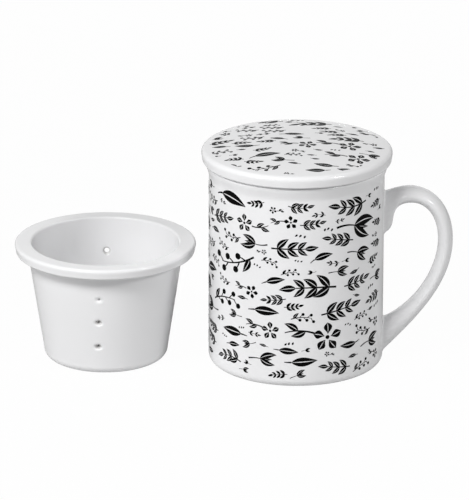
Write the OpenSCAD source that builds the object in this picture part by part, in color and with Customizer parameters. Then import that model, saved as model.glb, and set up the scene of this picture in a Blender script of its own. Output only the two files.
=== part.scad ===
// Lidded tea mug with a porcelain infuser. A straight-sided mug with a looped handle carries a
// loose domed lid on its flared rim. A perforated infuser stands beside it on its own foot, and
// its flange fits the same rim. Millimetres, +Z up. The origin is the middle of the mug's foot,
// on the table, and the handle points along +X.

/* [Mug] */
// Outer diameter of the straight wall
mug_od = 80; // [76:0.5:96]
// Height from the table to the top of the rim
mug_h = 95.5; // [90:0.5:125]
// Thickness of the wall
mug_wall = 4; // [3:0.1:5]
// Thickness of the floor, above the hollow inside the foot ring
mug_floor = 4.5; // [3.5:0.1:7]
// How far the rim flares out past the wall
rim_flare = 1.4; // [0.5:0.1:2.5]
// Height of the band in which the rim flares
rim_band_h = 6.8; // [5:0.1:10]
// Radius of the rim's outer edge
rim_round_out = 1.8; // [0.8:0.1:2.2]
// Radius of the rim's inner edge
rim_round_in = 1.4; // [0.6:0.1:1.6]
// Radius of the outer corner between wall and foot
base_round = 3.5; // [2:0.1:5]
// Radius of the inner corner between wall and floor
bowl_round = 9; // [5:0.5:14]

/* [Foot rings] */
// Width of the flat ring that the mug stands on
foot_w = 3; // [2:0.1:5]
// Width of the flat ring that the infuser stands on
infuser_foot_w = 2.5; // [1.5:0.1:4]
// Depth of the hollow inside each foot ring
foot_hollow = 1.5; // [0.8:0.1:2.5]

/* [Handle] */
// Reach of the handle past the mug's wall
handle_reach = 31.5; // [27:0.5:38]
// Width of the handle's bar across the loop
bar_w = 13; // [10:0.5:16]
// Thickness of the bar at its outermost point
grip_t = 6.8; // [5:0.1:9]
// Thickness of the bar at the top of the loop
arch_t = 7.2; // [5:0.1:9]
// Drop from the rim to the upper edge of the handle at the wall
handle_drop = 14.5; // [11:0.5:20]
// Rise of the handle's lower edge at the wall above the base corner
handle_foot_rise = 0.7; // [0:0.1:6]
// Rise of the outermost point above the handle's lower edge
grip_rise = 54; // [46:0.5:62]
// Height of the upper root on the wall
top_root_h = 20; // [16:0.5:24]
// Height of the lower root on the wall
low_root_h = 16; // [12:0.5:20]
// Width of the web that stiffens the upper root
web_w = 4.5; // [3:0.1:6]
// Angle at which the upper edge rises from the wall
top_slope = 23; // [15:1:30]
// Angle at which the lower edge rises from the wall
low_slope = 47; // [40:1:52]

/* [Infuser] */
// Height of the infuser on its foot
infuser_h = 55; // [45:0.5:70]
// Outer diameter at the foot's corner
infuser_base_d = 57; // [48:0.5:64]
// Thickness of the infuser's wall
infuser_wall = 2.4; // [2:0.1:3.5]
// Thickness of the infuser's floor, above the hollow inside the foot ring
infuser_floor = 2.8; // [2:0.1:4]
// Play between the infuser and the mug's mouth, all round
infuser_play = 0.5; // [0.3:0.1:1.5]
// How far the flange stands out past the mug's rim
flange_over = 0.1; // [-0.5:0.1:2]
// Thickness of the flange
flange_t = 4.6; // [3.5:0.1:6]
// Radius of the flange's outer edges
flange_round = 1.9; // [1:0.1:2.2]
// Radius of the rolled edge at the infuser's mouth
mouth_round = 2; // [1:0.1:3]
// Radius of the infuser's outer bottom corner
infuser_round = 4; // [2:0.1:6]

/* [Strainer holes] */
// Diameter of each hole
hole_d = 2.8; // [1.5:0.1:4]
// Angles round the wall of the upright rows, which are pierced by hand and so a little uneven
row_angles = [-93.4, -2, 91.2, 178]; // [-180:0.1:180]
// Holes in each row
holes_in_row = 3; // [1:1:4]
// Height of the lowest hole of a row
hole_low_z = 14.2; // [12:0.1:18]
// Drop from the flange's underside to the highest hole of a row
hole_top_drop = 11.4; // [8:0.1:14]
// Holes in the ring round the middle hole of the floor
floor_holes = 6; // [3:1:8]
// Radius of that ring of holes
floor_ring_r = 12; // [8:0.5:14]

/* [Lid] */
// How far the lid stands out past the infuser's flange
lid_over = 2; // [1:0.1:4]
// Thickness of the lid's rolled edge
lid_edge_t = 6.2; // [4.5:0.1:8]
// Rise of the lid's middle above its edge
lid_crown = 3.2; // [2:0.1:6]
// Thickness of the lid in its middle
lid_t = 5; // [4:0.1:6.5]
// Depth of the locating ring below the rim
ring_depth = 5; // [3:0.1:8]
// Thickness of the locating ring
ring_t = 3; // [2:0.1:4]
// Play between the locating ring and the infuser's mouth, all round
ring_play = 0.7; // [0.4:0.1:1.5]

/* [Place of the infuser] */
// Gap between the lid's edge and the infuser's flange, seen from above
stand_gap = 2.5; // [1:0.5:40]
// Turn of the infuser's place behind the -X axis
stand_turn = 2.3; // [-30:0.1:30]

/* [Hidden] */
$fn = 96;
eps = 0.01;

glaze_colour = [0.93, 0.93, 0.94];
handle_colour = [0.90, 0.90, 0.91];
infuser_colour = [0.88, 0.89, 0.90];
lid_colour = [0.95, 0.95, 0.96];

// Mug
mug_r = mug_od / 2;
bore_r = mug_r - mug_wall;
rim_r = mug_r + rim_flare;
foot_r = mug_r - base_round;
bowl_z = foot_hollow + mug_floor;

// Infuser
infuser_top_r = bore_r - infuser_play;
infuser_base_r = infuser_base_d / 2;
flange_r = rim_r + flange_over;
flange_z = infuser_h - flange_t;
infuser_foot_r = infuser_base_r - infuser_round;
wall_lean = (infuser_top_r - infuser_base_r) / (flange_z - infuser_round);
floor_z = foot_hollow + infuser_floor;
// Outer and inner radius of the infuser's wall at height z
function infuser_out(z) = infuser_base_r + wall_lean * (z - infuser_round);
function infuser_in(z) = infuser_out(z) - infuser_wall;
mouth_r = infuser_in(infuser_h - mouth_round);
hole_pitch = (flange_z - hole_top_drop - hole_low_z) / max(holes_in_row - 1, 1);
// The wall's holes are drilled outwards from this radius, well inside the cup
drill_start_r = infuser_base_r / 2;

// Lid
lid_r = flange_r + lid_over;
ring_r = infuser_in(infuser_h - ring_depth) - ring_play;
lid_edge_r = lid_edge_t / 2;
lid_top_z = lid_edge_t + lid_crown;

// The infuser's place beside the mug
stand_r = lid_r + flange_r + stand_gap;
stand = [-stand_r * cos(stand_turn), stand_r * sin(stand_turn), 0];

arc_steps = 8;

// Points of an arc round centre c, from angle a0 to a1
function arc(c, r, a0, a1, n = arc_steps) =
    [for (i = [0:n]) let (a = a0 + (a1 - a0) * i / n) c + r * [cos(a), sin(a)]];

// Point at t on a cubic curve with end points p[0], p[3] and guides p[1], p[2]
function curve(p, t) =
    pow(1 - t, 3) * p[0] + 3 * pow(1 - t, 2) * t * p[1]
    + 3 * (1 - t) * t * t * p[2] + t * t * t * p[3];

// ---- Mug body ----

// The wall swells smoothly from the straight side to the flared rim
function flare_points(n = arc_steps) =
    [for (i = [0:n]) let (t = i / n)
        [mug_r + rim_flare * (1 - cos(180 * t)) / 2,
         mug_h - rim_band_h + (rim_band_h - rim_round_out) * t]];

module mug_body() {
    color(glaze_colour)
    rotate_extrude()
    polygon(concat(
        [[0, foot_hollow], [foot_r - foot_w - foot_hollow, foot_hollow], [foot_r - foot_w, 0]],
        arc([foot_r, base_round], base_round, -90, 0),
        flare_points(),
        arc([rim_r - rim_round_out, mug_h - rim_round_out], rim_round_out, 0, 90),
        arc([bore_r + rim_round_in, mug_h - rim_round_in], rim_round_in, 90, 180),
        arc([bore_r - bowl_round, bowl_z + bowl_round], bowl_round, 0, -90),
        [[0, bowl_z]]));
}

// ---- Handle ----
// The loop is a loft of ovals, each spanned between a point of its outer edge and a point of its
// inner edge. Both edges are chains of cubic curves in the XZ plane.

handle_top = [mug_r, mug_h - handle_drop];
handle_foot = [mug_r, base_round + handle_foot_rise];
grip_out = [mug_r + handle_reach, handle_foot[1] + grip_rise];
grip_in = grip_out - [grip_t, 0];
web_foot = handle_top - [0, top_root_h];
crotch = handle_foot + [0, low_root_h];

// How far the guides of the outer edge reach, as shares of each curve's own width or height
top_guide = 0.66;
shoulder_guide = 0.78;
hip_guide = 0.4;
foot_guide = 0.66;
// The same for the inner edge, from the web's foot round to the crotch
web_foot_guide = 0.24;
web_head_guide = 0.68;
turn_rise_guide = 0.4;
turn_run_guide = 0.9;
arch_guide = 0.58;
palm_guide = 0.57;
heel_guide = 0.38;
crotch_guide = 0.65;
// Where the web ends and where the loop is highest inside, along the outer edge's top curve
web_share = 0.1;
arch_share = 0.24;
// How far the web's head lies below the middle between its foot and the arch
web_head_drop = 1;

outer_top = [
    handle_top,
    handle_top + top_guide * handle_reach * [cos(top_slope), sin(top_slope)],
    grip_out + [0, shoulder_guide * (handle_top[1] - grip_out[1])],
    grip_out];
outer_low = [
    grip_out,
    grip_out - [0, hip_guide * (grip_out[1] - handle_foot[1])],
    handle_foot + foot_guide * handle_reach * [cos(low_slope), sin(low_slope)],
    handle_foot];

// Lower edge of the loop's top, under the outer edge's own point at arch_share
arch = curve(outer_top, arch_share) - [0, arch_t];
web_head = [mug_r + web_w, (arch[1] + web_foot[1]) / 2 - web_head_drop];
inner_web = [
    web_foot,
    web_foot + web_foot_guide * [web_w, web_w],
    web_head - [0, web_head_guide * (web_head[1] - web_foot[1])],
    web_head];
inner_turn = [
    web_head,
    web_head + [0, turn_rise_guide * (arch[1] - web_head[1])],
    arch - [turn_run_guide * (arch[0] - web_head[0]), 0],
    arch];
inner_arch = [
    arch,
    arch + [arch_guide * (grip_in[0] - arch[0]), 0],
    grip_in + [0, palm_guide * (arch[1] - grip_in[1])],
    grip_in];
crotch_slope = low_slope / 2;
inner_low = [
    grip_in,
    grip_in - [0, heel_guide * (grip_in[1] - crotch[1])],
    crotch + crotch_guide * (grip_in[0] - crotch[0]) * [cos(crotch_slope), sin(crotch_slope)],
    crotch];

// Each stretch: outer curve, its start and end, inner curve, number of steps
stretches = [
    [outer_top, 0, web_share, inner_web, 7],
    [outer_top, web_share, arch_share, inner_turn, 7],
    [outer_top, arch_share, 1, inner_arch, 10],
    [outer_low, 0, 1, inner_low, 14]];
edge_pairs = concat(
    [for (s = stretches) for (i = [0:s[4] - 1]) let (t = i / s[4])
        [curve(s[0], s[1] + (s[2] - s[1]) * t), curve(s[3], t)]],
    [[handle_foot, crotch]]);

// The loop starts and ends inside the wall, and is then cut to the wall's own cylinder
root_sink = 2;
oval_sides = 20;
sunk = [-root_sink, 0];
loop_pairs = concat(
    [[edge_pairs[0][0] + sunk, edge_pairs[0][1] + sunk]],
    edge_pairs,
    [[handle_foot + sunk, crotch + sunk]]);

function oval(pair) =
    let (mid = (pair[0] + pair[1]) / 2, half = (pair[0] - pair[1]) / 2)
    [for (k = [0:oval_sides - 1]) let (a = 360 * k / oval_sides, p = mid + half * cos(a))
        [p[0], bar_w / 2 * sin(a), p[1]]];

module loft(rings) {
    n = oval_sides;
    last = len(rings) - 1;
    polyhedron(
        points = [for (ring = rings) each ring],
        faces = concat(
            [[for (k = [0:n - 1]) k]],
            [for (i = [0:last - 1]) for (k = [0:n - 1])
                let (a = i * n + k, b = i * n + (k + 1) % n)
                each [[a, a + n, b], [b, a + n, b + n]]],
            [[for (k = [0:n - 1]) last * n + n - 1 - k]]));
}

module mug_handle() {
    color(handle_colour)
    difference() {
        loft([for (pair = loop_pairs) oval(pair)]);
        cylinder(r = mug_r, h = mug_h);
    }
}

// ---- Infuser ----

module infuser_shell() {
    bowl = [infuser_in(floor_z + infuser_round) - infuser_round, floor_z + infuser_round];
    rotate_extrude()
    polygon(concat(
        [[0, foot_hollow],
         [infuser_foot_r - infuser_foot_w - foot_hollow, foot_hollow],
         [infuser_foot_r - infuser_foot_w, 0]],
        arc([infuser_foot_r, infuser_round], infuser_round, -90, 0),
        [[infuser_out(flange_z), flange_z]],
        arc([flange_r - flange_round, flange_z + flange_round], flange_round, -90, 0),
        arc([flange_r - flange_round, infuser_h - flange_round], flange_round, 0, 90),
        arc([mouth_r + mouth_round, infuser_h - mouth_round], mouth_round, 90, 180),
        arc(bowl, infuser_round, 0, -90),
        [[0, floor_z]]));
}

module infuser() {
    color(infuser_colour)
    translate(stand)
    difference() {
        infuser_shell();
        for (row_angle = row_angles, i = [0:holes_in_row - 1])
            rotate([0, 0, row_angle])
            translate([drill_start_r, 0, hole_low_z + i * hole_pitch])
            rotate([0, 90, 0])
            cylinder(d = hole_d, h = flange_r, $fn = 32);
        translate([0, 0, -eps])
        cylinder(d = hole_d, h = floor_z + 2 * eps, $fn = 32);
        for (k = [0:floor_holes - 1])
            rotate([0, 0, k * 360 / floor_holes])
            translate([floor_ring_r, 0, -eps])
            cylinder(d = hole_d, h = floor_z + 2 * eps, $fn = 32);
    }
}

// ---- Lid ----
// Drawn with its seat, the flat that lies on the rim, at height zero.

// Height of the crowned top at radius r
top_edge_r = lid_r - lid_edge_r;
function crown_z(r) = lid_top_z - lid_crown * pow(r / top_edge_r, 2);
crown_steps = 10;
// Angle at which the rolled edge runs into the crown
crown_turn = 90 - atan(2 * lid_crown / top_edge_r);
lid_hollow_r = ring_r - ring_t;
hollow_top_z = lid_top_z - lid_t;

module lid() {
    color(lid_colour)
    translate([0, 0, mug_h])
    rotate_extrude()
    polygon(concat(
        [for (i = [0:crown_steps]) let (r = lid_hollow_r * i / crown_steps)
            [r, hollow_top_z * (1 - pow(r / lid_hollow_r, 2))]],
        arc([lid_hollow_r + ring_t / 2, ring_t / 2 - ring_depth], ring_t / 2, 180, 360),
        [[ring_r, 0]],
        arc([top_edge_r, lid_edge_r], lid_edge_r, -90, crown_turn),
        [for (i = [1:crown_steps - 1]) let (r = top_edge_r * (1 - i / crown_steps))
            [r, crown_z(r)]],
        [[0, lid_top_z]]));
}

mug_body();
mug_handle();
infuser();
lid();
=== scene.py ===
"""A white porcelain tea mug with its lid on, and the pierced infuser that belongs to it beside it.

Metres, +Z up. The origin is the middle of the mug's foot, and the handle points along +X. Sizes of
the porcelain are in millimetres, the unit of the workshop, and MM turns them into metres.
"""

import math
import random
from collections import namedtuple

import bmesh
import bpy
from mathutils import Matrix, Vector


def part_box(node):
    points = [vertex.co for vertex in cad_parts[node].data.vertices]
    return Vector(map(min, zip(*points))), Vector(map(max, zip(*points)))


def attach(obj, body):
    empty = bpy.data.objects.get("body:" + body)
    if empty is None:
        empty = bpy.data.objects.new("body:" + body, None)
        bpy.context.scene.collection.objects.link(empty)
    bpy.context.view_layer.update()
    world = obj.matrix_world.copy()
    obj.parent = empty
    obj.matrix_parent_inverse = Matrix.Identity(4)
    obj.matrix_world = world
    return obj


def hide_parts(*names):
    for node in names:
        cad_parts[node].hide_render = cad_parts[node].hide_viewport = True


MM = 0.001
TURN = 2 * math.pi
# Points closer than this become one point, in metres.
MERGE = 0.002 * MM

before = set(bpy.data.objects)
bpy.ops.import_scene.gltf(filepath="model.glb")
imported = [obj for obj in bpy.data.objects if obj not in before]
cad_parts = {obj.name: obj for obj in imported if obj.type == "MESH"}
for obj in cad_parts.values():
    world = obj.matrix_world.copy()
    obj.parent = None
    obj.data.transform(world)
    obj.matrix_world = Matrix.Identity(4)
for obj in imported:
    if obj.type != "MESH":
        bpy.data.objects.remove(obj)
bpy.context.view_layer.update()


# ---- Sizes, in millimetres ----

mug_box = [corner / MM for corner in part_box("mug_body")]
handle_box = [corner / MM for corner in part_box("mug_handle")]
infuser_box = [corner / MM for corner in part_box("infuser")]
lid_box = [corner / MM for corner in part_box("lid")]

MUG_H = mug_box[1].z
RIM_R = mug_box[1].x
RIM_FLARE = 1.4
RIM_ROUND = 0.9
FLARE_H = 6.8
FLARE_POWER = 1.5
FLARE_LOW = MUG_H - FLARE_H
FLARE_HIGH = MUG_H - RIM_ROUND
WALL_R = RIM_R - RIM_FLARE
MUG_WALL = 4
BORE_R = WALL_R - MUG_WALL
LIP_ROUND = 1.4
BASE_ROUND = 3.5
BOWL_ROUND = 9
FLOOR_TOP = 6

# The hollow under a foot, how far its side slopes for its depth, its small rounds and its ring.
FOOT_HOLLOW = 1.5
FOOT_SLOPE = 1.2
FOOT_LIP = 0.5
FOOT_W = 3

# The flange is rounded above and below, and its face leans in towards its underside.
INFUSER_H = infuser_box[1].z
FLANGE_R = (infuser_box[1].x - infuser_box[0].x) / 2
FLANGE_T = 5
FLANGE_ROUND = 1.4
FLANGE_UNDER = 1.2
FLANGE_LEAN = 0.5
INFUSER_PLAY = 0.5
INFUSER_TOP_R = BORE_R - INFUSER_PLAY
INFUSER_BASE_R = 28.5
INFUSER_ROUND = 4
INFUSER_WALL = 2.4
INFUSER_FOOT_W = 2.5
INFUSER_FLOOR_TOP = 4.3
MOUTH_ROUND = 1.1
INFUSER_PLACE = Vector(
    ((infuser_box[0].x + infuser_box[1].x) / 2, (infuser_box[0].y + infuser_box[1].y) / 2, 0)
)

LID_R = lid_box[1].x
LID_EDGE = 6.2
LID_TOP = lid_box[1].z - MUG_H
LID_T = 5
RING_DEPTH = MUG_H - lid_box[0].z
RING_T = 3
RING_PLAY = 0.7
RING_CORNER = 0.6


# ---- Outlines, rings and the lathe ----

def arc(centre, radius, start, end, steps=9):
    """Points of an arc from one angle to another, in degrees, both ends included."""
    angles = [math.radians(start + (end - start) * i / steps) for i in range(steps + 1)]
    return [(centre[0] + radius * math.cos(a), centre[1] + radius * math.sin(a)) for a in angles]


def outline(*runs, step=2.5):
    """Joins runs of points into one line, with more points along its long straight stretches."""
    corners = [point for run in runs for point in run]
    line = corners[:1]
    for end in corners[1:]:
        start = line[-1]
        pieces = math.ceil(math.dist(start, end) / step)
        for i in range(1, pieces + 1):
            line.append(tuple(a + (b - a) * i / pieces for a, b in zip(start, end)))
    return line


def lathe(line, steps=192):
    """Spins an outline round the Z axis into a closed shell."""
    bm = bmesh.new()
    points = [bm.verts.new((r * MM, 0, z * MM)) for r, z in line]
    edges = [bm.edges.new(pair) for pair in zip(points, points[1:])]
    bmesh.ops.spin(
        bm, geom=points + edges, cent=(0, 0, 0), axis=(0, 0, 1),
        angle=TURN, steps=steps, use_merge=True,
    )
    bmesh.ops.remove_doubles(bm, verts=bm.verts, dist=MERGE)
    bmesh.ops.recalc_face_normals(bm, faces=bm.faces)
    return bm


def foot_run(corner_r, corner_round, foot_w):
    """The hollow under a foot, its ring, and the corner that rises from it to the wall."""
    ring_out = corner_r - corner_round
    ring_in = ring_out - foot_w
    slope_in = ring_in - FOOT_SLOPE * FOOT_HOLLOW
    return (
        [(0, FOOT_HOLLOW)],
        arc((slope_in, FOOT_HOLLOW - FOOT_LIP), FOOT_LIP, 90, 45, 3),
        arc((ring_in + FOOT_LIP, FOOT_LIP), FOOT_LIP, 225, 270, 4),
        arc((ring_out, corner_round), corner_round, -90, 0, 12),
    )


def edges_of(items):
    return list(dict.fromkeys(edge for item in items for edge in item.link_edges))


def round_points(sides, radius, squash=1):
    turns = [TURN * k / sides for k in range(sides)]
    return [Vector((radius * math.cos(t), radius * squash * math.sin(t), 0)) for t in turns]


def add_ring(bm, points):
    """Adds a closed ring of edges through points given in millimetres."""
    ring = bmesh.ops.create_circle(bm, segments=len(points), radius=1)["verts"]
    for vert, point in zip(ring, points):
        vert.co = point * MM
    return edges_of(ring)


# ---- Pieces ----

CREASE = math.radians(38)

# Slots of a piece's materials: white glaze, ground bare of it, and glaze darkened with painted
# shade deep in holes.
GLAZED, GROUND, SHADED_BORE = range(3)


def crease(bm):
    """Shades the bmesh smooth, and keeps its real corners crisp."""
    for face in bm.faces:
        face.smooth = True
    for edge in bm.edges:
        edge.smooth = edge.calc_face_angle(0) < CREASE


def add_piece(name, bm, body, materials, replaced=()):
    """Makes a finished bmesh an object that rides on a body and stands for CAD nodes."""
    crease(bm)
    mesh = bpy.data.meshes.new(name)
    bm.to_mesh(mesh)
    bm.free()
    piece = bpy.data.objects.new(name, mesh)
    bpy.context.scene.collection.objects.link(piece)
    for material in materials:
        mesh.materials.append(material)
    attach(piece, body)
    if replaced:
        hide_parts(*replaced)
    return piece


def bare_rings(bm, height=0.3):
    """Leaves the faces that meet the table bare of glaze."""
    for face in bm.faces:
        if max(vert.co.z for vert in face.verts) < height * MM:
            face.material_index = GROUND


# ---- Mug ----

def mug_out(height):
    """Outer radius of the mug's wall, which flares below the rim and still leans out at its top."""
    share = min(max((height - FLARE_LOW) / (FLARE_HIGH - FLARE_LOW), 0), 1)
    bend = (1 - math.cos(math.pi * share)) / 2
    return WALL_R + RIM_FLARE * (bend + share ** FLARE_POWER) / 2


def mug_shell():
    heights = [FLARE_LOW + (FLARE_HIGH - FLARE_LOW) * i / 16 for i in range(17)]
    flare = [(mug_out(height), height) for height in heights]
    line = outline(
        *foot_run(WALL_R, BASE_ROUND, FOOT_W),
        flare,
        arc((RIM_R - RIM_ROUND, MUG_H - RIM_ROUND), RIM_ROUND, 0, 90),
        arc((BORE_R + LIP_ROUND, MUG_H - LIP_ROUND), LIP_ROUND, 90, 180),
        arc((BORE_R - BOWL_ROUND, FLOOR_TOP + BOWL_ROUND), BOWL_ROUND, 0, -90, 16),
        [(0, FLOOR_TOP)],
    )
    bm = lathe(line)
    bare_rings(bm)
    return bm


# ---- Handle ----
# Rings of an oval, each spanned between a point of the loop's outer edge and one of its inner edge.
# The edges are cubic curves, whose guides are shares of the stretch that each curve spans.

BAR_W = 13
HANDLE_REACH = handle_box[1].x - WALL_R
GRIP_T = 6.8
ARCH_T = 7.2
HANDLE_TOP = Vector((WALL_R, MUG_H - 14.5))
HANDLE_FOOT = Vector((WALL_R, BASE_ROUND + 0.7))
WEB_FOOT = HANDLE_TOP - Vector((0, 20))
CROTCH = HANDLE_FOOT + Vector((0, 16))
WEB_W = 3.8
GRIP_OUT = Vector((WALL_R + HANDLE_REACH, HANDLE_FOOT.y + 54))
GRIP_IN = GRIP_OUT - Vector((GRIP_T, 0))
TOP_SLOPE = math.radians(23)
LOW_SLOPE = math.radians(47)
WEB_SHARE = 0.1
ARCH_SHARE = 0.24
BAR_SIDES = 48
ROOT_FILLET = 1.1
ROOT_CLEAR = 1.3 * ROOT_FILLET
ROOT_SINK = 0.04


def along(angle, length):
    return Vector((math.cos(angle), math.sin(angle))) * length


def curve(p, t):
    """Point at t on the cubic curve with ends p[0] and p[3] and guides p[1] and p[2]."""
    s = 1 - t
    return p[0] * s ** 3 + p[1] * 3 * s * s * t + p[2] * 3 * s * t * t + p[3] * t ** 3


def outer_curves():
    """The loop's outer edge, from the upper root to the grip and from there to the lower root."""
    top = (
        HANDLE_TOP,
        HANDLE_TOP + along(TOP_SLOPE, 0.66 * HANDLE_REACH),
        GRIP_OUT + Vector((0, 0.78 * (HANDLE_TOP.y - GRIP_OUT.y))),
        GRIP_OUT,
    )
    low = (
        GRIP_OUT,
        GRIP_OUT - Vector((0, 0.4 * (GRIP_OUT.y - HANDLE_FOOT.y))),
        HANDLE_FOOT + along(LOW_SLOPE, 0.66 * HANDLE_REACH),
        HANDLE_FOOT,
    )
    return top, low


def inner_curves(arch):
    """The loop's inner edge: the web, its turn into the arch, the arch, and on to the crotch."""
    web_head = Vector((WALL_R + WEB_W, (arch.y + WEB_FOOT.y) / 2 - 1))
    web = (
        WEB_FOOT,
        WEB_FOOT + Vector((WEB_W, WEB_W)) * 0.24,
        web_head - Vector((0, 0.68 * (web_head.y - WEB_FOOT.y))),
        web_head,
    )
    turn = (
        web_head,
        web_head + Vector((0, 0.4 * (arch.y - web_head.y))),
        arch - Vector((0.9 * (arch.x - web_head.x), 0)),
        arch,
    )
    top = (
        arch,
        arch + Vector((0.58 * (GRIP_IN.x - arch.x), 0)),
        GRIP_IN + Vector((0, 0.57 * (arch.y - GRIP_IN.y))),
        GRIP_IN,
    )
    low = (
        GRIP_IN,
        GRIP_IN - Vector((0, 0.38 * (GRIP_IN.y - CROTCH.y))),
        CROTCH + along(LOW_SLOPE / 2, 0.65 * (GRIP_IN.x - CROTCH.x)),
        CROTCH,
    )
    return web, turn, top, low


def handle_edges():
    """Pairs of points on the loop's outer and inner edge, from the upper root to the lower one."""
    outer_top, outer_low = outer_curves()
    arch = curve(outer_top, ARCH_SHARE) - Vector((0, ARCH_T))
    web, turn, inner_top, inner_low = inner_curves(arch)
    stretches = (
        (outer_top, 0, WEB_SHARE, web, 16),
        (outer_top, WEB_SHARE, ARCH_SHARE, turn, 16),
        (outer_top, ARCH_SHARE, 1, inner_top, 24),
        (outer_low, 0, 1, inner_low, 36),
    )
    pairs = []
    for outer, start, end, inner, steps in stretches:
        for i in range(steps):
            t = i / steps
            pairs.append((curve(outer, start + (end - start) * t), curve(inner, t)))
    pairs.append((HANDLE_FOOT, CROTCH))
    into_wall = Vector((-MUG_WALL, 0))
    first = tuple(point + into_wall for point in pairs[0])
    last = tuple(point + into_wall for point in pairs[-1])
    return [first] + pairs + [last]


def oval(pair):
    """Matrix that lays a unit circle as the oval between two points of the loop's edges."""
    middle = (pair[0] + pair[1]) / 2
    half = (pair[0] - pair[1]) / 2
    return Matrix((
        (half.x, 0, 0, middle.x),
        (0, BAR_W / 2, 0, 0),
        (half.y, 0, 0, middle.y),
        (0, 0, 0, 1),
    ))


def wall_gap(point):
    return math.hypot(point.x, point.y) - WALL_R


def landing(rings, gap):
    """The ring of points at which the bar's own lines come within a gap of the mug's wall."""
    ring = []
    for i in range(BAR_SIDES):
        line = [points[i] for points in rings]
        for far, near in zip(line, line[1:]):
            if wall_gap(near) <= gap:
                share = (wall_gap(far) - gap) / (wall_gap(far) - wall_gap(near))
                ring.append(far.lerp(near, share))
                break
    return ring


def spread(ring, gap, push):
    """Pushes a landing ring outwards over the wall, and sets it a gap away from it."""
    middle = sum(ring, Vector()) / len(ring)
    spread_ring = []
    for i, point in enumerate(ring):
        wall_normal = Vector((point.x, point.y, 0)).normalized()
        tangent = ring[(i + 1) % len(ring)] - ring[i - 1]
        outward = tangent.cross(wall_normal).normalized()
        if outward.dot(point - middle) < 0:
            outward.negate()
        moved = point + outward * push
        across = Vector((moved.x, moved.y, 0)).normalized() * (WALL_R + gap)
        spread_ring.append(Vector((across.x, across.y, moved.z)))
    return spread_ring


def root_rings(rings, steps=7):
    """Rings that round a root of the handle into the wall with a small fillet."""
    rounded = []
    for i in range(steps + 1):
        turn = math.pi / 2 * i / steps
        gap = ROOT_FILLET * (1 - math.sin(turn))
        push = ROOT_FILLET * (1 - math.cos(turn))
        rounded.append(spread(landing(rings, max(gap, 0)), gap - ROOT_SINK * i / steps, push))
    return rounded


def handle_loop():
    circle = round_points(BAR_SIDES, 1)
    ovals = [[oval(pair) @ point for point in circle] for pair in handle_edges()]
    middle = len(ovals) // 2
    upper = root_rings(ovals[middle::-1])
    lower = root_rings(ovals[middle:])
    clear = [ring for ring in ovals if min(wall_gap(point) for point in ring) > ROOT_CLEAR]
    bm = bmesh.new()
    previous = None
    for ring in upper[::-1] + clear + lower:
        edges = add_ring(bm, ring)
        if previous:
            bmesh.ops.bridge_loops(bm, edges=previous + edges)
        previous = edges
    bmesh.ops.recalc_face_normals(bm, faces=bm.faces)
    return bm


# ---- Infuser ----
# Turned at the origin, pierced, and then set down in its place.

HOLE_R = 1.25
SIDE_HEIGHTS = (14.2, 26.6, 39.0)
# A row of holes: its angle round the cup, their heights, their radius, how flat they are, the share
# of their width that they keep inside, and how far the row leans aside for each millimetre up.
Row = namedtuple("Row", "angle heights radius flatness narrowing lean")
FRONT_ROW = Row(-93.7, (14.0, 26.3, 37.9), 1.5, 0.78, 0.26, 0.035)
HOLE_ROWS = (
    FRONT_ROW,
    Row(-2, SIDE_HEIGHTS, HOLE_R, 0.95, 0.7, 0),
    Row(91.2, SIDE_HEIGHTS, HOLE_R, 1.08, 1.1, 0),
    Row(178, SIDE_HEIGHTS, HOLE_R, 0.95, 0.7, -0.03),
)
# The glaze rounds each hole's rims into dimples, and nearly fills the front row's top hole.
DIMPLE_OUT = 0.9
DIMPLE_IN = 0.8
DIMPLE_DEPTH = 0.5
DIMPLE_MARGIN = 0.4
DIMPLE_POWER = 1.5
FILLED_HOLE = (FRONT_ROW, FRONT_ROW.heights[2])
FILLED_SHARE = 0.56
PINHOLE_SHARE = 0.1
# Half the side of the square cut out of the wall for a hole.
HOLE_WINDOW = 3.7
FLOOR_RING_R = 12
FLOOR_HOLES = 6
FLOOR_HOLE_SIDES = 24
FLOOR_DIMPLE = 0.7
FLOOR_WINDOW_R = 17
FLANGE_NECK = 0.9
FLANGE_LOW = INFUSER_H - FLANGE_T
WALL_LEAN = (INFUSER_TOP_R - INFUSER_BASE_R) / (FLANGE_LOW - INFUSER_ROUND)


def infuser_out(height):
    """Outer radius of the infuser's wall."""
    return INFUSER_BASE_R + WALL_LEAN * (height - INFUSER_ROUND)


def infuser_in(height):
    return infuser_out(height) - INFUSER_WALL


def infuser_shell():
    mouth_r = infuser_in(INFUSER_H - MOUTH_ROUND)
    bowl_z = INFUSER_FLOOR_TOP + INFUSER_ROUND
    neck_z = FLANGE_LOW - FLANGE_NECK
    flange_low_r = FLANGE_R - FLANGE_LEAN - FLANGE_UNDER
    line = outline(
        *foot_run(INFUSER_BASE_R, INFUSER_ROUND, INFUSER_FOOT_W),
        arc((infuser_out(neck_z) + FLANGE_NECK, neck_z), FLANGE_NECK, 180, 90, 5),
        arc((flange_low_r, FLANGE_LOW + FLANGE_UNDER), FLANGE_UNDER, -90, 0),
        arc((FLANGE_R - FLANGE_ROUND, INFUSER_H - FLANGE_ROUND), FLANGE_ROUND, 0, 90),
        arc((mouth_r + MOUTH_ROUND, INFUSER_H - MOUTH_ROUND), MOUTH_ROUND, 90, 180),
        arc((infuser_in(bowl_z) - INFUSER_ROUND, bowl_z), INFUSER_ROUND, 0, -90, 12),
        [(0, INFUSER_FLOOR_TOP)],
        step=1,
    )
    return lathe(line)


def rim_rounding(width, depth, steps=6):
    """Pairs of extra radius and depth, from a flat surface down a soft slope into a hole."""
    pairs = [(width + DIMPLE_MARGIN, 0)]
    for i in range(steps + 1):
        turn = math.pi / 2 * i / steps
        pairs.append((
            width - width * math.sin(turn) ** DIMPLE_POWER,
            depth - depth * math.cos(turn) ** DIMPLE_POWER,
        ))
    return pairs


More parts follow.
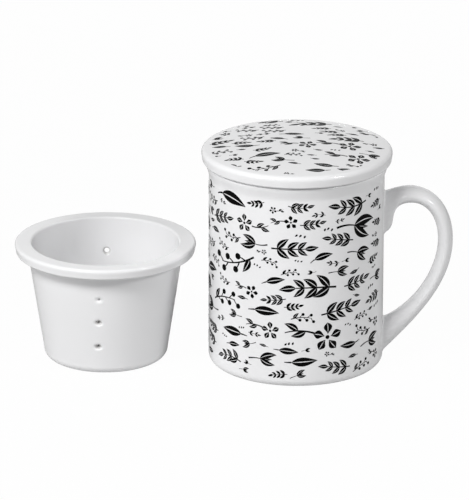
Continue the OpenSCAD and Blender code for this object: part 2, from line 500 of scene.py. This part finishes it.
def cut_out(bm, faces):
    """Deletes faces, and gives a patch: a small mesh with copies of the edges round the gap."""
    inside = set(faces)
    edges = dict.fromkeys(edge for face in faces for edge in face.edges)
    border = [edge for edge in edges if len(inside.intersection(edge.link_faces)) == 1]
    patch = bmesh.new()
    verts = dict.fromkeys(vert for edge in border for vert in edge.verts)
    copies = {vert: patch.verts.new(vert.co) for vert in verts}
    for edge in border:
        patch.edges.new([copies[vert] for vert in edge.verts])
    bmesh.ops.delete(bm, geom=faces, context="FACES")
    return patch


def put_in(bm, patch):
    """Adds a small mesh to a larger one, and frees it."""
    mesh = bpy.data.meshes.new("patch")
    patch.to_mesh(mesh)
    patch.free()
    bm.from_mesh(mesh)
    bpy.data.meshes.remove(mesh)


def along_wall(angle):
    """Direction from the cup's axis at an angle round it."""
    return Vector((math.cos(math.radians(angle)), math.sin(math.radians(angle)), 0))


def window_of(point):
    """The row and height of the hole whose window a point of the wall lies in, or None."""
    for row in HOLE_ROWS:
        radial = along_wall(row.angle)
        if point.dot(radial) > 0 and abs(point.cross(radial).z) < HOLE_WINDOW:
            for height in row.heights:
                if abs(point.z - height) < HOLE_WINDOW:
                    return row, height
    return None


def on_wall(surface, angle, aside, z, depth):
    """A point a depth off the wall's outer or inner surface, and so far aside of an angle."""
    radial = along_wall(angle)
    reach = math.sqrt(surface(z) ** 2 - aside * aside) + depth
    return radial * reach + Vector((-radial.y, radial.x, 0)) * aside + Vector((0, 0, z))


def hole_rings(row, filled, rng):
    """How flat one hole is, and its outer and inner rings: each a surface, a radius and a depth."""
    squash = row.flatness * rng.uniform(0.95, 1.04)
    hole_r = row.radius * rng.uniform(0.94, 1.05)
    bore_r = hole_r * (FILLED_SHARE if filled else 1)
    inner_r = bore_r * (PINHOLE_SHARE if filled else row.narrowing)
    outer_dimple = rim_rounding(hole_r + DIMPLE_OUT - bore_r, DIMPLE_DEPTH)
    inner_dimple = rim_rounding(DIMPLE_IN, DIMPLE_DEPTH)[::-1]
    outer = [(infuser_out, bore_r + grow, -depth) for grow, depth in outer_dimple]
    inner = [(infuser_in, inner_r + grow, depth) for grow, depth in inner_dimple]
    return squash, outer, inner


def pierce_wall(patch, row, height, rng):
    """Makes one hole through the wall, its rims rounded by the glaze, which nearly fills one."""
    radial = along_wall(row.angle)
    middle_r = (infuser_out(height) + infuser_in(height)) / 2 * MM
    outside = [edge for edge in patch.edges if edge.verts[0].co.dot(radial) > middle_r]
    inside = [edge for edge in patch.edges if edge.verts[0].co.dot(radial) <= middle_r]
    shift = row.lean * (height - row.heights[1])
    filled = (row, height) == FILLED_HOLE
    squash, outer, inner = hole_rings(row, filled, rng)
    bore = range(len(outer) - 1, len(outer) + len(inner) - 3)
    previous = outside
    for i, (surface, radius, depth) in enumerate(outer + inner):
        ring = add_ring(patch, [
            on_wall(surface, row.angle, shift + point.x, height + point.y, depth)
            for point in round_points(len(outside), radius, squash)])
        span = bmesh.ops.bridge_loops(patch, edges=previous + ring)["faces"]
        # The faces down a hole's bore get the bore material, whose darker colour is painted shade.
        finish_faces(span, SHADED_BORE if i in bore and not filled else GLAZED)
        previous = ring
    finish_faces(bmesh.ops.bridge_loops(patch, edges=previous + inside)["faces"], GLAZED)


def finish_faces(faces, slot):
    """Gives faces one of their piece's materials."""
    for face in faces:
        face.material_index = slot


def pierce_floor(patch):
    """Fills the floor's gap again, round a ring of holes and the one in its middle."""
    low, high = FOOT_HOLLOW, INFUSER_FLOOR_TOP
    rims = {
        z: [edge for edge in patch.edges if abs(edge.verts[0].co.z - z * MM) < MERGE]
        for z in (low, high)
    }
    middles = [Vector((0, 0, 0))] + round_points(FLOOR_HOLES, FLOOR_RING_R)
    rounding = rim_rounding(FLOOR_DIMPLE, DIMPLE_DEPTH)
    levels = [(grow, high - depth) for grow, depth in rounding]
    levels += [(grow, low + depth) for grow, depth in rounding[::-1]]
    for middle in middles:
        rings = []
        for grow, z in levels:
            level = middle + Vector((0, 0, z))
            circle = round_points(FLOOR_HOLE_SIDES, HOLE_R + grow)
            rings.append(add_ring(patch, [level + point for point in circle]))
        for upper, lower in zip(rings, rings[1:]):
            bmesh.ops.bridge_loops(patch, edges=upper + lower)
        rims[high] += rings[0]
        rims[low] += rings[-1]
    for rim in rims.values():
        bmesh.ops.triangle_fill(patch, edges=rim, use_beauty=True)


def infuser_cup():
    bm = infuser_shell()
    rng = random.Random(5)
    windows = {(row, height): [] for row in HOLE_ROWS for height in row.heights}
    floor = []
    for face in bm.faces:
        centre = face.calc_center_median() / MM
        window = window_of(centre)
        if centre.xy.length < FLOOR_WINDOW_R:
            floor.append(face)
        elif window:
            windows[window].append(face)
    patches = [cut_out(bm, floor)]
    pierce_floor(patches[0])
    for (row, height), faces in windows.items():
        patches.append(cut_out(bm, faces))
        pierce_wall(patches[-1], row, height, rng)
    for patch in patches:
        put_in(bm, patch)
    bmesh.ops.remove_doubles(bm, verts=bm.verts, dist=MERGE)
    bmesh.ops.recalc_face_normals(bm, faces=bm.faces)
    bare_rings(bm)
    bmesh.ops.translate(bm, verts=bm.verts, vec=INFUSER_PLACE * MM)
    return bm


# ---- Lid ----

# The edge is rounded above and below and leans in, and outside the rim its underside rises.
LID_CROWN = LID_TOP - LID_EDGE
LID_UNDER = 1.0
LID_SHOULDER = 2.2
LID_LEAN = 0.4
LID_RISE = 0.4
LID_CROWN_R = LID_R - LID_SHOULDER
RING_R = infuser_in(INFUSER_H - RING_DEPTH) - RING_PLAY
LID_HOLLOW_R = RING_R - RING_T


def crown_height(radius):
    """Height of the lid's crowned top above its seat."""
    return LID_TOP - LID_CROWN * (radius / LID_CROWN_R) ** 2


def lid_plate():
    hollow = [LID_HOLLOW_R * i / 12 for i in range(13)]
    hollow_top = LID_TOP - LID_T
    crown = [LID_CROWN_R * (1 - i / 24) for i in range(1, 25)]
    crown_turn = 90 - math.degrees(math.atan(2 * LID_CROWN / LID_CROWN_R))
    line = outline(
        [(r, hollow_top * (1 - (r / LID_HOLLOW_R) ** 2)) for r in hollow],
        arc((LID_HOLLOW_R + RING_T / 2, RING_T / 2 - RING_DEPTH), RING_T / 2, 180, 360, 12),
        arc((RING_R + RING_CORNER, -RING_CORNER), RING_CORNER, 180, 90, 4),
        [(RIM_R - RIM_ROUND, 0)],
        arc((LID_R - LID_LEAN - LID_UNDER, LID_RISE + LID_UNDER), LID_UNDER, -90, 0, 10),
        arc((LID_CROWN_R, LID_EDGE - LID_SHOULDER), LID_SHOULDER, 0, crown_turn, 14),
        [(r, crown_height(r)) for r in crown],
    )
    bm = lathe(line)
    bmesh.ops.translate(bm, verts=bm.verts, vec=Vector((0, 0, MUG_H)) * MM)
    return bm


# ---- Printed sprigs ----
# A motif is drawn flat in millimetres, as a small mesh of its own, and then laid on the porcelain.

PRINT_PROUD = 0.05
PRINT_T = 0.08
# Side of the cells by which motifs keep clear of each other, and how often each is tried.
CELL = 0.8
PLACE_TRIES = 150


def on_bend(start, heading, bend, length, share):
    """The point a share of the way along an evenly bent line, and the line's heading there."""
    half_turn = bend * share / 2
    chord = length * share * (math.sin(half_turn) / half_turn if half_turn else 1)
    return start + along(heading + half_turn, chord), heading + bend * share


def add_strip(bm, line, low, high):
    """Adds a strip along a bent line, between a low and a high edge given along its way."""
    steps = max(5, math.ceil(line[3] / 0.9))
    for vert in bmesh.ops.create_grid(bm, x_segments=steps, y_segments=1, size=1)["verts"]:
        share = (vert.co.x + 1) / 2
        point, course = on_bend(*line, share)
        edge = high(share) if vert.co.y > 0 else low(share)
        vert.co = (point + along(course + math.pi / 2, edge)).to_3d()


def add_stem(bm, line, width):
    """Adds a stem that thins to half its width."""
    def edge(share):
        return (2 - share) * width / 4

    add_strip(bm, line, lambda share: -edge(share), edge)


def add_leaf(bm, foot, heading, length, bend, slim=0.42, fullness=0.8):
    """Adds a pointed leaf. A large one is parted along its rib by a thin gap."""
    line = (foot, heading, bend, length)
    half = slim * length / 2

    def edge(share):
        return half * max(0, math.sin(math.pi * share ** fullness))

    if length > 3.2:
        add_strip(bm, line, lambda share: 0.1 * edge(share), edge)
        add_strip(bm, line, lambda share: -edge(share), lambda share: -0.1 * edge(share))
    else:
        add_strip(bm, line, lambda share: -edge(share), edge)


def add_dot(bm, middle, radius):
    dot = bmesh.ops.create_circle(bm, cap_ends=True, segments=12, radius=radius)["verts"]
    bmesh.ops.translate(bm, verts=dot, vec=middle.to_3d())


def draw_sprig(bm, size, rng):
    """A stem with pairs of leaves and a leaf at its tip."""
    bend = rng.uniform(-0.6, 0.6)
    line = (Vector((-0.95 * size, 0)), -bend / 2, bend, 1.45 * size)
    add_stem(bm, line, 0.07 * size)
    pairs = 3 if size > 4 else 2
    for k in range(pairs):
        foot, course = on_bend(*line, 0.18 + 0.62 * k / (pairs - 1))
        for side in (-1, 1):
            spread_angle = side * rng.uniform(0.8, 1.0)
            add_leaf(bm, foot, course + spread_angle, (0.68 - 0.09 * k) * size, -0.5 * side)
    tip, course = on_bend(*line, 1)
    add_leaf(bm, tip, course, 0.6 * size, 0.2)


def draw_shoot(bm, size, rng):
    """Two broad leaves that part from a stem, with a bud between them."""
    line = (Vector((-1.05 * size, -0.12 * size)), 0.3, rng.uniform(-0.6, -0.2), 0.75 * size)
    add_stem(bm, line, 0.08 * size)
    fork, course = on_bend(*line, 1)
    add_leaf(bm, fork, course + 0.72, 1.05 * size, -0.75, 0.36)
    add_leaf(bm, fork, course - 0.66, 0.95 * size, 0.75, 0.36)
    add_leaf(bm, fork + along(course, 0.12 * size), course, 0.6 * size, 0.15, 0.24)


def draw_blossom(bm, size, rng):
    """A blossom of five petals on a stem with two leaves."""
    middle = Vector((-0.42 * size, 0.05 * size))
    first = rng.uniform(0, 1)
    for k in range(5):
        heading = first + TURN * k / 5
        foot = middle + along(heading, 0.12 * size)
        add_leaf(bm, foot, heading, 0.42 * size, 0.3, 0.74, 1.3)
    add_dot(bm, middle, 0.075 * size)
    line = (middle + along(-0.35, 0.52 * size), -0.35, 0.7, 1.05 * size)
    add_stem(bm, line, 0.07 * size)
    for share, side in ((0.3, 1), (0.55, -1)):
        foot, course = on_bend(*line, share)
        add_leaf(bm, foot, course + 0.8 * side, 0.55 * size, -0.6 * side)


def draw_leaf(bm, size, rng):
    """A single broad leaf with its stalk."""
    bend = rng.uniform(-0.5, 0.5)
    foot = Vector((-0.5 * size, 0))
    add_leaf(bm, foot, -bend / 2, 1.5 * size, bend, 0.36)
    add_stem(bm, (foot, math.pi - bend / 2, -bend, 0.4 * size), 0.09 * size)


def draw_berries(bm, size, rng):
    """A stem with a leaf, and berries on stalks of their own."""
    line = (Vector((-0.9 * size, -0.15 * size)), 0.35, rng.uniform(-0.8, -0.4), 1.6 * size)
    add_stem(bm, line, 0.07 * size)
    foot, course = on_bend(*line, 0.12)
    add_leaf(bm, foot, course + 0.8, 0.6 * size, -0.5)
    for k in range(5):
        side = 1 if k % 2 else -1
        foot, course = on_bend(*line, 0.25 + 0.18 * k)
        stalk = (foot, course + 0.95 * side, -0.4 * side, 0.3 * size)
        add_stem(bm, stalk, 0.06 * size)
        add_dot(bm, on_bend(*stalk, 1.15)[0], 0.12 * size)


def draw_seeds(bm, size, rng):
    """Three drops in a loose row."""
    for k in range(3):
        foot = Vector(((k - 1) * 0.55 * size, rng.uniform(-0.12, 0.12) * size))
        add_leaf(bm, foot, rng.uniform(0.4, 1.2), 0.5 * size, 0.3, 0.55)


LARGE_MOTIFS = (draw_sprig, draw_sprig, draw_shoot, draw_blossom, draw_leaf, draw_berries)
SMALL_MOTIFS = (draw_sprig, draw_shoot, draw_leaf, draw_leaf, draw_blossom, draw_seeds)


def drawn_motif(size, rng):
    bm = bmesh.new()
    rng.choice(LARGE_MOTIFS if size > 4 else SMALL_MOTIFS)(bm, size, rng)
    tilt = rng.choice((0, math.pi)) + rng.uniform(-0.24, 0.24)
    bmesh.ops.rotate(bm, verts=bm.verts, cent=(0, 0, 0), matrix=Matrix.Rotation(tilt, 3, "Z"))
    bmesh.ops.remove_doubles(bm, verts=bm.verts, dist=0.005)
    return bm


def trim_round(bm, radius, sides=72):
    """Cuts off what lies outside a circle round the origin."""
    for k in range(sides):
        outward = Vector((math.cos(TURN * k / sides), math.sin(TURN * k / sides), 0))
        if any(vert.co.dot(outward) > radius for vert in bm.verts):
            bmesh.ops.bisect_plane(
                bm, geom=bm.verts[:] + bm.edges[:] + bm.faces[:], dist=0.001,
                plane_co=outward * radius, plane_no=outward, clear_outer=True,
            )


def clear_place(points, low, high, taken, rng):
    """A place in the field where a motif meets no cell that is taken. Takes the cells round it."""
    left = min(point.x for point in points)
    right = max(point.x for point in points)
    bottom = min(point.y for point in points)
    top = max(point.y for point in points)
    for _ in range(PLACE_TRIES):
        x = rng.uniform(low.x - left, high.x - right)
        y = rng.uniform(low.y - bottom, high.y - top)
        place = Vector((x, y))
        cells = {(round((p.x + place.x) / CELL), round((p.y + place.y) / CELL)) for p in points}
        if taken.isdisjoint(cells):
            margin = range(-1, 2)
            taken.update((i + a, j + b) for i, j in cells for a in margin for b in margin)
            return place
    return None


def strew(sizes, low, high, seed, round_r=0):
    """Motifs strewn over a flat field, large ones first, each clear of the ones before it."""
    rng = random.Random(seed)
    field = bmesh.new()
    taken = set()
    for size in [size for size, count in sizes for _ in range(count)]:
        motif = drawn_motif(size, rng)
        place = clear_place([vert.co.xy for vert in motif.verts], low, high, taken, rng)
        if place is None:
            motif.free()
            continue
        bmesh.ops.translate(motif, verts=motif.verts, vec=place.to_3d())
        if round_r:
            trim_round(motif, round_r)
        motif.normal_update()
        turned = [face for face in motif.faces if face.normal.z < 0]
        bmesh.ops.reverse_faces(motif, faces=turned)
        bmesh.ops.solidify(motif, geom=motif.faces[:], thickness=PRINT_T)
        put_in(field, motif)
    return field


# Pairs of a motif's size and of how many are drawn.
WALL_PRINT = ((13, 8), (10.5, 14), (8, 34), (6, 40), (4.5, 44), (3.2, 46), (2.4, 36))
LID_PRINT = ((10, 4), (8, 8), (6, 14), (4.5, 18), (3.2, 18), (2.4, 14))
PRINT_LOW = BASE_ROUND + 0.7
PRINT_HIGH = FLARE_LOW + 1.4
PRINT_CLEAR = 12.5
LID_PRINT_R = 39.7


def mug_print():
    """The print on the mug's wall, which leaves the handle's strip clear."""
    bm = strew(
        WALL_PRINT, Vector((PRINT_CLEAR, PRINT_LOW)),
        Vector((TURN * WALL_R - PRINT_CLEAR, PRINT_HIGH)), seed=11,
    )
    for vert in bm.verts:
        turn = vert.co.x / WALL_R
        radius = mug_out(vert.co.y) + PRINT_PROUD + vert.co.z
        vert.co = Vector((radius * math.cos(turn), radius * math.sin(turn), vert.co.y)) * MM
    return bm


def lid_print():
    """The print on the lid, cut off round its edge."""
    reach = Vector((LID_PRINT_R, LID_PRINT_R)) * 1.05
    bm = strew(LID_PRINT, -reach, reach, seed=3, round_r=LID_PRINT_R)
    for vert in bm.verts:
        top = MUG_H + crown_height(vert.co.xy.length) + PRINT_PROUD
        vert.co = Vector((vert.co.x, vert.co.y, top + vert.co.z)) * MM
    return bm


# ---- Materials ----

class Wire:
    """A node's output, or a node tree by itself. Arithmetic on an output adds Math nodes."""

    def __init__(self, tree, socket=None):
        self.tree = tree
        self.socket = socket

    def node(self, kind, settings=(), inputs=(), output=0):
        """Adds a node: its settings come first, then the values or links of its sockets."""
        made = self.tree.nodes.new("ShaderNode" + kind)
        for name, value in dict(settings).items():
            setattr(made, name, value)
        for key, value in dict(inputs).items():
            if isinstance(value, Wire):
                self.tree.links.new(value.socket, made.inputs[key])
            else:
                made.inputs[key].default_value = value
        return Wire(self.tree, made.outputs[output] if made.outputs else None)

    def noise(self, scale, detail):
        """Noise through the piece's own coordinates, with a scale of waves to the metre."""
        place = self.node("TexCoord", output="Object")
        return self.node("TexNoise", {}, {"Vector": place, "Scale": scale, "Detail": detail})

    def between(self, low, high):
        """The colour that lies this share of the way from a low to a high one."""
        colours = {0: self, 6: (*low, 1), 7: (*high, 1)}
        return self.node("Mix", {"data_type": "RGBA"}, colours, output=2)

    def math(self, operation, *values):
        return self.node("Math", {"operation": operation}, enumerate(values))

    def __add__(self, other):
        return self.math("ADD", self, other)

    def __mul__(self, other):
        return self.math("MULTIPLY", self, other)


def new_material(name):
    material = bpy.data.materials.new(name)
    material.use_nodes = True
    material.node_tree.nodes.clear()
    return material, Wire(material.node_tree)


def finish_material(tree, shader):
    tree.node("OutputMaterial", {}, {"Surface": shader})


def glaze_material():
    """White glaze with a soft ripple and a faint cloudiness."""
    material, tree = new_material("white_glaze")
    ripple = tree.noise(45, 2)
    bump = tree.node("Bump", {}, {"Height": ripple, "Strength": 0.2, "Distance": 0.0004})
    cloud = tree.noise(18, 3)
    shader = tree.node("BsdfPrincipled", {}, {
        "Base Color": cloud.between((0.83, 0.83, 0.84), (0.86, 0.86, 0.865)),
        "Roughness": cloud * 0.06 + 0.09,
        "Normal": bump,
        "IOR": 1.46,
        "Specular IOR Level": 0.4,
    })
    finish_material(tree, shader)
    return material


def bare_material():
    """Fired body without glaze, ground smooth where it stands on the table."""
    material, tree = new_material("bare_foot")
    grain = tree.noise(1400, 4)
    bump = tree.node("Bump", {}, {"Height": grain, "Strength": 0.4, "Distance": 0.00005})
    shader = tree.node("BsdfPrincipled", {}, {
        "Base Color": grain.between((0.70, 0.68, 0.64), (0.78, 0.76, 0.72)),
        "Roughness": grain * 0.2 + 0.6,
        "Normal": bump,
    })
    finish_material(tree, shader)
    return material


def bore_shade_material():
    """Painted shade: white glaze darkened deep in the infuser's small holes, to stand in for the
    shade that gathers there.
    """
    material, tree = new_material("bore_painted_shade")
    cloud = tree.noise(900, 2)
    shader = tree.node("BsdfPrincipled", {}, {
        "Base Color": cloud.between((0.62, 0.615, 0.61), (0.72, 0.715, 0.71)),
        "Roughness": cloud * 0.1 + 0.2,
    })
    finish_material(tree, shader)
    return material


def print_material():
    """Fired black with a dull sheen."""
    material, tree = new_material("black_print")
    grain = tree.noise(900, 2)
    shader = tree.node("BsdfPrincipled", {}, {
        "Base Color": grain.between((0.001, 0.001, 0.001), (0.003, 0.003, 0.003)),
        "Roughness": grain * 0.1 + 0.35,
        "Specular IOR Level": 0.03,
    })
    finish_material(tree, shader)
    return material


glaze = glaze_material()
bare = bare_material()
bore = bore_shade_material()
black = print_material()

add_piece("mug_shell", mug_shell(), "mug", [glaze, bare], ["mug_body"])
add_piece("handle_loop", handle_loop(), "mug", [glaze], ["mug_handle"])
add_piece("infuser_cup", infuser_cup(), "infuser", [glaze, bare, bore], ["infuser"])
add_piece("lid_plate", lid_plate(), "lid", [glaze], ["lid"])
add_piece("mug_print", mug_print(), "mug", [black])
add_piece("lid_print", lid_print(), "lid", [black])


# ---- Floor, light and camera ----

# The floor lies a hair below the feet, so that they don't share a plane. The shares say how much
# of its plain white the camera sees, and how much of that the glaze mirrors.
FLOOR_R = 4
FLOOR_DROP = 0.00005
FLOOR_SEEN = 0.98
FLOOR_MIRRORED = 0.1
WORLD_LEVEL = 0.02
# Where the lamps point.
AIM = Vector((-0.02, 0, 0.05))
CAMERA_PLACE = Vector((0, -2.1, 0.78428))
CAMERA_PAN = math.radians(0.77)
CAMERA_TILT = math.radians(90 - 19.22)
CAMERA_ROLL = math.radians(0.18)
LENS = 350.1


def floor_material():
    """A white floor that shows as plain white, and still keeps the porcelain's soft shadow."""
    material, tree = new_material("floor")
    camera = tree.node("LightPath", output="Is Camera Ray")
    mirrored = tree.node("LightPath", output="Is Glossy Ray") * FLOOR_MIRRORED
    seen = tree.math("MAXIMUM", camera, mirrored) * FLOOR_SEEN
    matt = tree.node("BsdfDiffuse", {}, {"Color": (0.62, 0.62, 0.62, 1)})
    white = tree.node("Emission", {}, {"Color": (1, 1, 1, 1), "Strength": 1})
    finish_material(tree, tree.node("MixShader", {}, {0: seen, 1: matt, 2: white}))
    return material


def add_floor():
    bm = bmesh.new()
    bmesh.ops.create_circle(bm, cap_ends=True, segments=96, radius=FLOOR_R)
    bmesh.ops.translate(bm, verts=bm.verts, vec=(0, 0, -FLOOR_DROP))
    mesh = bpy.data.meshes.new("floor")
    bm.to_mesh(mesh)
    bm.free()
    floor = bpy.data.objects.new("floor", mesh)
    bpy.context.scene.collection.objects.link(floor)
    mesh.materials.append(floor_material())


def add_world():
    world = bpy.data.worlds.new("studio")
    bpy.context.scene.world = world
    world.use_nodes = True
    world.node_tree.nodes.clear()
    tree = Wire(world.node_tree)
    seen = tree.node("LightPath", output="Is Camera Ray")
    for ray in ("Is Glossy Ray", "Is Transmission Ray"):
        seen = tree.math("MAXIMUM", seen, tree.node("LightPath", output=ray))
    strength = seen * (1 - WORLD_LEVEL) + WORLD_LEVEL
    background = tree.node("Background", {}, {"Color": (1, 1, 1, 1), "Strength": strength})
    tree.node("OutputWorld", {}, {"Surface": background})


def add_lamp(name, azimuth, elevation, distance, width, height, level, mirrored=False):
    """A softbox that at a level of 1 lights a white surface facing it as white.

    Its azimuth counts from the front to the right, and the glaze mirrors it only if asked to.
    """
    lamp = bpy.data.lights.new(name, "AREA")
    lamp.shape = "RECTANGLE"
    lamp.size = width
    lamp.size_y = height
    lamp.energy = level * math.pi * math.pi * distance ** 2
    holder = bpy.data.objects.new(name, lamp)
    bpy.context.scene.collection.objects.link(holder)
    turn = math.radians(azimuth)
    rise = math.radians(elevation)
    toward = Vector((
        math.sin(turn) * math.cos(rise), -math.cos(turn) * math.cos(rise), math.sin(rise)))
    holder.location = AIM + toward * distance
    holder.rotation_euler = toward.to_track_quat("Z", "Y").to_euler()
    holder.visible_glossy = mirrored


def add_camera():
    camera = bpy.data.cameras.new("camera")
    camera.lens = LENS
    camera.sensor_width = 36
    camera.clip_start = 0.05
    holder = bpy.data.objects.new("camera", camera)
    bpy.context.scene.collection.objects.link(holder)
    holder.matrix_world = (
        Matrix.Translation(CAMERA_PLACE)
        @ Matrix.Rotation(CAMERA_PAN, 4, "Z")
        @ Matrix.Rotation(CAMERA_TILT, 4, "X")
        @ Matrix.Rotation(CAMERA_ROLL, 4, "Z")
    )
    bpy.context.scene.camera = holder


add_camera()
add_world()
add_floor()
add_lamp("key", -38, 43, 1.1, 0.5, 0.25, 0.78, mirrored=True)
add_lamp("left", -62, 24, 1.1, 0.4, 0.3, 0.18)
add_lamp("right", 54, 32, 1.2, 0.2, 0.2, 0.3, mirrored=True)
add_lamp("low", 100, 15, 1.2, 0.5, 0.5, 0.11)
add_lamp("back", 180, 7, 1.2, 0.6, 0.15, 0.5)

scene = bpy.context.scene
scene.view_settings.view_transform = "Standard"
